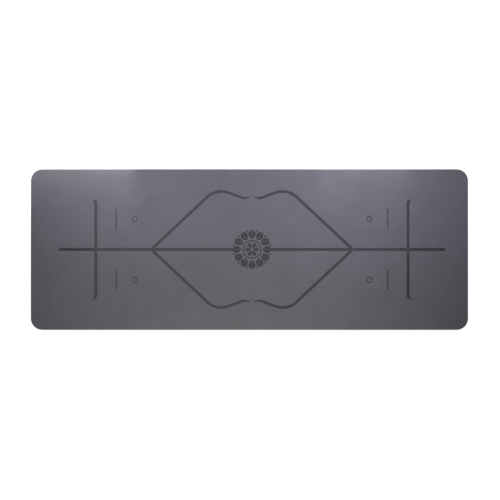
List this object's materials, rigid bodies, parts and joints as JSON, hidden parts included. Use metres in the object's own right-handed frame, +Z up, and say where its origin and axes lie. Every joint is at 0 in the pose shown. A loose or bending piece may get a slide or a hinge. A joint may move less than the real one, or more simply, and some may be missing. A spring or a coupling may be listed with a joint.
{
  "type": "yoga mat",
  "caption": "Flat laminated yoga mat with rounded corners: a grip film etched with guide marks, over a darker layer, a fabric scrim and a rubber base.",
  "frame": {"origin": "middle of the underside, on the floor", "axes": "+X along the mat's length, +Y across it, +Z up out of the practice side"},
  "size_m": [1.85, 0.68, 0.0045],
  "materials": {
    "grey_polyurethane": "matte polyurethane grip film, violet-grey, with a very fine grain",
    "dark_polyurethane": "matte darker polyurethane, bare where the film is etched away",
    "scrim": "thin plain-woven backing fabric",
    "rubber": "black natural rubber foam, fine closed cells, textured underneath for grip"
  },
  "bodies": {
    "root": {"rubber_base": "rubber", "fabric_scrim": "scrim", "dark_layer": "dark_polyurethane", "grip_skin": "grey_polyurethane", "ring_centre_left_front": "grey_polyurethane", "ring_centre_left_back": "grey_polyurethane", "ring_centre_right_front": "grey_polyurethane", "ring_centre_right_back": "grey_polyurethane", "rosette_centre": "grey_polyurethane"}
  },
  "joints": []
}
